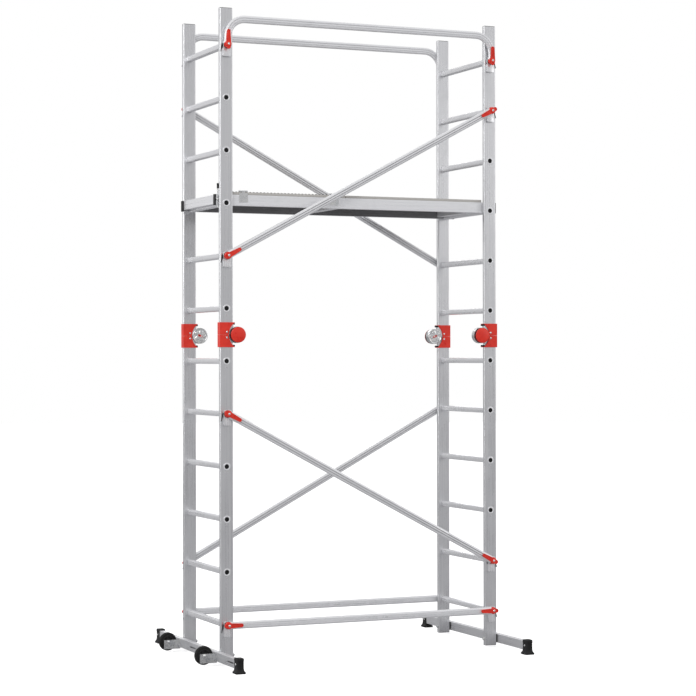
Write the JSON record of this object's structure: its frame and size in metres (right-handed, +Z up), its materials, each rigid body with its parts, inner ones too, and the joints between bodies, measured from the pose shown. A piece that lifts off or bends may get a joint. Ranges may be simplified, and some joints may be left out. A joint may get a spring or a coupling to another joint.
{
  "type": "mobile tower scaffold",
  "caption": "Mobile tower scaffold: rung frames joined by braces and guard rails around a platform with a trapdoor, on base bars with rubber feet and tilt-to-roll wheels.",
  "frame": {"origin": "centre of the footprint's bounding box, on the floor", "axes": "+X across the tower from the wheel end to the plain end, +Y from the front face to the back, +Z up"},
  "size_m": [1.846, 1.326, 3.489],
  "materials": {
    "stile_tube": "mill finish",
    "rung_tube": "mill finish",
    "grey_plastic": "satin",
    "bar_tube": "ribbed extrusion",
    "black_rubber": "matte",
    "bright_steel": "zinc plated",
    "zinc_steel": "zinc plated",
    "black_plastic": "matte",
    "black_rubber_tyre": "matte",
    "brace_tube": "ribbed extrusion",
    "hook_plate": "brushed",
    "red_plastic": "satin gloss",
    "deck_rail_tube": "ribbed extrusion",
    "deck_ply": "dark resin-filmed plywood"
  },
  "bodies": {
    "tower": {"left_lower_stiles": "stile_tube", "right_lower_stiles": "stile_tube", "left_upper_stiles": "stile_tube", "right_upper_stiles": "stile_tube", "left_rungs": "rung_tube", "right_rungs": "rung_tube", "stile_caps": "grey_plastic", "base_bars": "bar_tube", "bar_pads": "black_rubber", "base_feet": "black_rubber", "base_bolts": "bright_steel", "wheel_brackets": "zinc_steel", "wheel_axles": "bright_steel", "front_braces": "brace_tube", "back_braces": "brace_tube", "base_braces": "brace_tube", "guard_rails": "brace_tube", "clamp_hooks": "black_plastic", "clamp_plates": "hook_plate", "clamp_knuckles": "red_plastic", "clamp_pins": "bright_steel", "hinge_cheeks": "zinc_steel", "hinge_drums": "zinc_steel", "hinge_covers": "red_plastic", "hinge_pins": "bright_steel", "hinge_springs": "bright_steel", "hinge_rivets": "bright_steel", "platform_rails": "deck_rail_tube", "platform_beams": "deck_rail_tube", "rail_end_caps": "black_plastic", "deck_board": "deck_ply", "hatch_brackets": "zinc_steel", "wind_lock_bolt": "bright_steel"},
    "lever_front_rail_left": {"lever_front_rail_left": "red_plastic"},
    "lever_front_rail_right": {"lever_front_rail_right": "red_plastic"},
    "lever_front_upper_left": {"lever_front_upper_left": "red_plastic"},
    "lever_front_upper_right": {"lever_front_upper_right": "red_plastic"},
    "lever_front_lower_left": {"lever_front_lower_left": "red_plastic"},
    "lever_front_lower_right": {"lever_front_lower_right": "red_plastic"},
    "lever_front_base_left": {"lever_front_base_left": "red_plastic"},
    "lever_front_base_right": {"lever_front_base_right": "red_plastic"},
    "lever_back_rail_left": {"lever_back_rail_left": "red_plastic"},
    "lever_back_rail_right": {"lever_back_rail_right": "red_plastic"},
    "lever_back_upper_left": {"lever_back_upper_left": "red_plastic"},
    "lever_back_upper_right": {"lever_back_upper_right": "red_plastic"},
    "lever_back_lower_left": {"lever_back_lower_left": "red_plastic"},
    "lever_back_lower_right": {"lever_back_lower_right": "red_plastic"},
    "lever_back_base_left": {"lever_back_base_left": "red_plastic"},
    "lever_back_base_right": {"lever_back_base_right": "red_plastic"},
    "knob_front_left": {"knob_front_left": "red_plastic"},
    "knob_front_right": {"knob_front_right": "red_plastic"},
    "knob_back_left": {"knob_back_left": "red_plastic"},
    "knob_back_right": {"knob_back_right": "red_plastic"},
    "front_wheel": {"front_wheel_hub": "black_plastic", "front_wheel_tyre": "black_rubber_tyre"},
    "back_wheel": {"back_wheel_hub": "black_plastic", "back_wheel_tyre": "black_rubber_tyre"},
    "hatch": {"hatch_lid": "deck_ply", "hatch_leaves": "zinc_steel"},
    "wind_lock": {"wind_lock": "zinc_steel"}
  },
  "joints": [
    {"name": "lever_front_rail_left_pivot", "type": "hinge", "parent": "tower", "child": "lever_front_rail_left", "pos_m": [-0.7345, -0.3433, 3.288], "axis": [0, 1, 0], "range_deg": [0, 95]},
    {"name": "lever_front_rail_right_pivot", "type": "hinge", "parent": "tower", "child": "lever_front_rail_right", "pos_m": [0.8405, -0.3433, 3.288], "axis": [0, -1, 0], "range_deg": [0, 95]},
    {"name": "lever_front_upper_left_pivot", "type": "hinge", "parent": "tower", "child": "lever_front_upper_left", "pos_m": [-0.7345, -0.3433, 2.168], "axis": [0, -1, 0], "range_deg": [0, 95]},
    {"name": "lever_front_upper_right_pivot", "type": "hinge", "parent": "tower", "child": "lever_front_upper_right", "pos_m": [0.8405, -0.3433, 3.008], "axis": [0, 1, 0], "range_deg": [0, 95]},
    {"name": "lever_front_lower_left_pivot", "type": "hinge", "parent": "tower", "child": "lever_front_lower_left", "pos_m": [-0.7345, -0.3433, 1.328], "axis": [0, -1, 0], "range_deg": [0, 95]},
    {"name": "lever_front_lower_right_pivot", "type": "hinge", "parent": "tower", "child": "lever_front_lower_right", "pos_m": [0.8405, -0.3433, 0.488], "axis": [0, 1, 0], "range_deg": [0, 95]},
    {"name": "lever_front_base_left_pivot", "type": "hinge", "parent": "tower", "child": "lever_front_base_left", "pos_m": [-0.7345, -0.3433, 0.208], "axis": [0, -1, 0], "range_deg": [0, 95]},
    {"name": "lever_front_base_right_pivot", "type": "hinge", "parent": "tower", "child": "lever_front_base_right", "pos_m": [0.8405, -0.3433, 0.208], "axis": [0, 1, 0], "range_deg": [0, 95]},
    {"name": "lever_back_rail_left_pivot", "type": "hinge", "parent": "tower", "child": "lever_back_rail_left", "pos_m": [-0.7345, 0.3433, 3.288], "axis": [0, 1, 0], "range_deg": [0, 95]},
    {"name": "lever_back_rail_right_pivot", "type": "hinge", "parent": "tower", "child": "lever_back_rail_right", "pos_m": [0.8405, 0.3433, 3.288], "axis": [0, -1, 0], "range_deg": [0, 95]},
    {"name": "lever_back_upper_left_pivot", "type": "hinge", "parent": "tower", "child": "lever_back_upper_left", "pos_m": [-0.7345, 0.3433, 3.008], "axis": [0, -1, 0], "range_deg": [0, 95]},
    {"name": "lever_back_upper_right_pivot", "type": "hinge", "parent": "tower", "child": "lever_back_upper_right", "pos_m": [0.8405, 0.3433, 2.168], "axis": [0, 1, 0], "range_deg": [0, 95]},
    {"name": "lever_back_lower_left_pivot", "type": "hinge", "parent": "tower", "child": "lever_back_lower_left", "pos_m": [-0.7345, 0.3433, 0.488], "axis": [0, -1, 0], "range_deg": [0, 95]},
    {"name": "lever_back_lower_right_pivot", "type": "hinge", "parent": "tower", "child": "lever_back_lower_right", "pos_m": [0.8405, 0.3433, 1.328], "axis": [0, 1, 0], "range_deg": [0, 95]},
    {"name": "lever_back_base_left_pivot", "type": "hinge", "parent": "tower", "child": "lever_back_base_left", "pos_m": [-0.7345, 0.3433, 0.208], "axis": [0, -1, 0], "range_deg": [0, 95]},
    {"name": "lever_back_base_right_pivot", "type": "hinge", "parent": "tower", "child": "lever_back_base_right", "pos_m": [0.8405, 0.3433, 0.208], "axis": [0, 1, 0], "range_deg": [0, 95]},
    {"name": "knob_front_left_push", "type": "slide", "parent": "tower", "child": "knob_front_left", "axis": [0, 1, 0], "range_m": [0, 0.006], "stiffness_N_per_m": 2000, "springref_m": -0.003, "deforming": ["hinge_springs"]},
    {"name": "knob_front_right_push", "type": "slide", "parent": "tower", "child": "knob_front_right", "axis": [0, 1, 0], "range_m": [0, 0.006], "stiffness_N_per_m": 2000, "springref_m": -0.003, "deforming": ["hinge_springs"]},
    {"name": "knob_back_left_push", "type": "slide", "parent": "tower", "child": "knob_back_left", "axis": [0, -1, 0], "range_m": [0, 0.006], "stiffness_N_per_m": 2000, "springref_m": -0.003, "deforming": ["hinge_springs"]},
    {"name": "knob_back_right_push", "type": "slide", "parent": "tower", "child": "knob_back_right", "axis": [0, -1, 0], "range_m": [0, 0.006], "stiffness_N_per_m": 2000, "springref_m": -0.003, "deforming": ["hinge_springs"]},
    {"name": "front_wheel_spin", "type": "hinge", "parent": "tower", "child": "front_wheel", "pos_m": [-0.873, -0.3215, 0.058], "axis": [0, 1, 0], "continuous": true},
    {"name": "back_wheel_spin", "type": "hinge", "parent": "tower", "child": "back_wheel", "pos_m": [-0.873, 0.2655, 0.058], "axis": [0, 1, 0], "continuous": true},
    {"name": "hatch_hinge", "type": "hinge", "parent": "tower", "child": "hatch", "pos_m": [-0.36, -0.27, 2.515], "axis": [1, 0, 0], "range_deg": [0, 95]},
    {"name": "wind_lock_pivot", "type": "hinge", "parent": "tower", "child": "wind_lock", "pos_m": [-0.7725, -0.275, 2.468], "axis": [0, 1, 0], "range_deg": [0, 60]}
  ]
}
